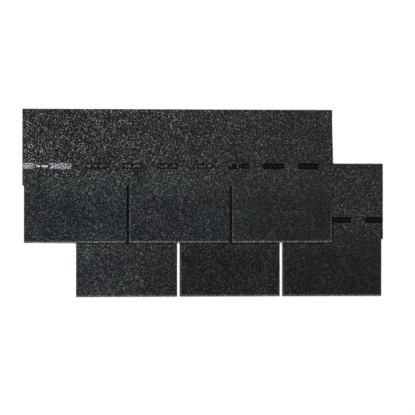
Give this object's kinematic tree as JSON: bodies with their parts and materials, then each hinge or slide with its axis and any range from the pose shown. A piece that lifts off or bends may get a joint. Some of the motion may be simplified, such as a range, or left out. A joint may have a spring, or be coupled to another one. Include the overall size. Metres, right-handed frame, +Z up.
{
  "type": "three-tab asphalt shingles",
  "caption": "Strip shingles of granule-coated asphalt, cut into tabs by slots, with a dashed seal strip, one lapped over the other and shifted by half a tab.",
  "frame": {"origin": "on the floor, under the middle of the pair's bounding box", "axes": "+X along the strips, towards the end where the lower strip shows; +Y from the front edges of the tabs to the head edges, up the roof slope when laid; +Z up, out of the granule face"},
  "size_m": [1.1666, 0.472, 0.0072],
  "materials": {
    "granule_coat": "matte",
    "seal_adhesive": "gloss"
  },
  "bodies": {
    "root": {"lower_shingle": "granule_coat", "upper_shingle": "granule_coat", "lower_seal_strip": "seal_adhesive", "upper_seal_strip": "seal_adhesive"}
  },
  "joints": []
}
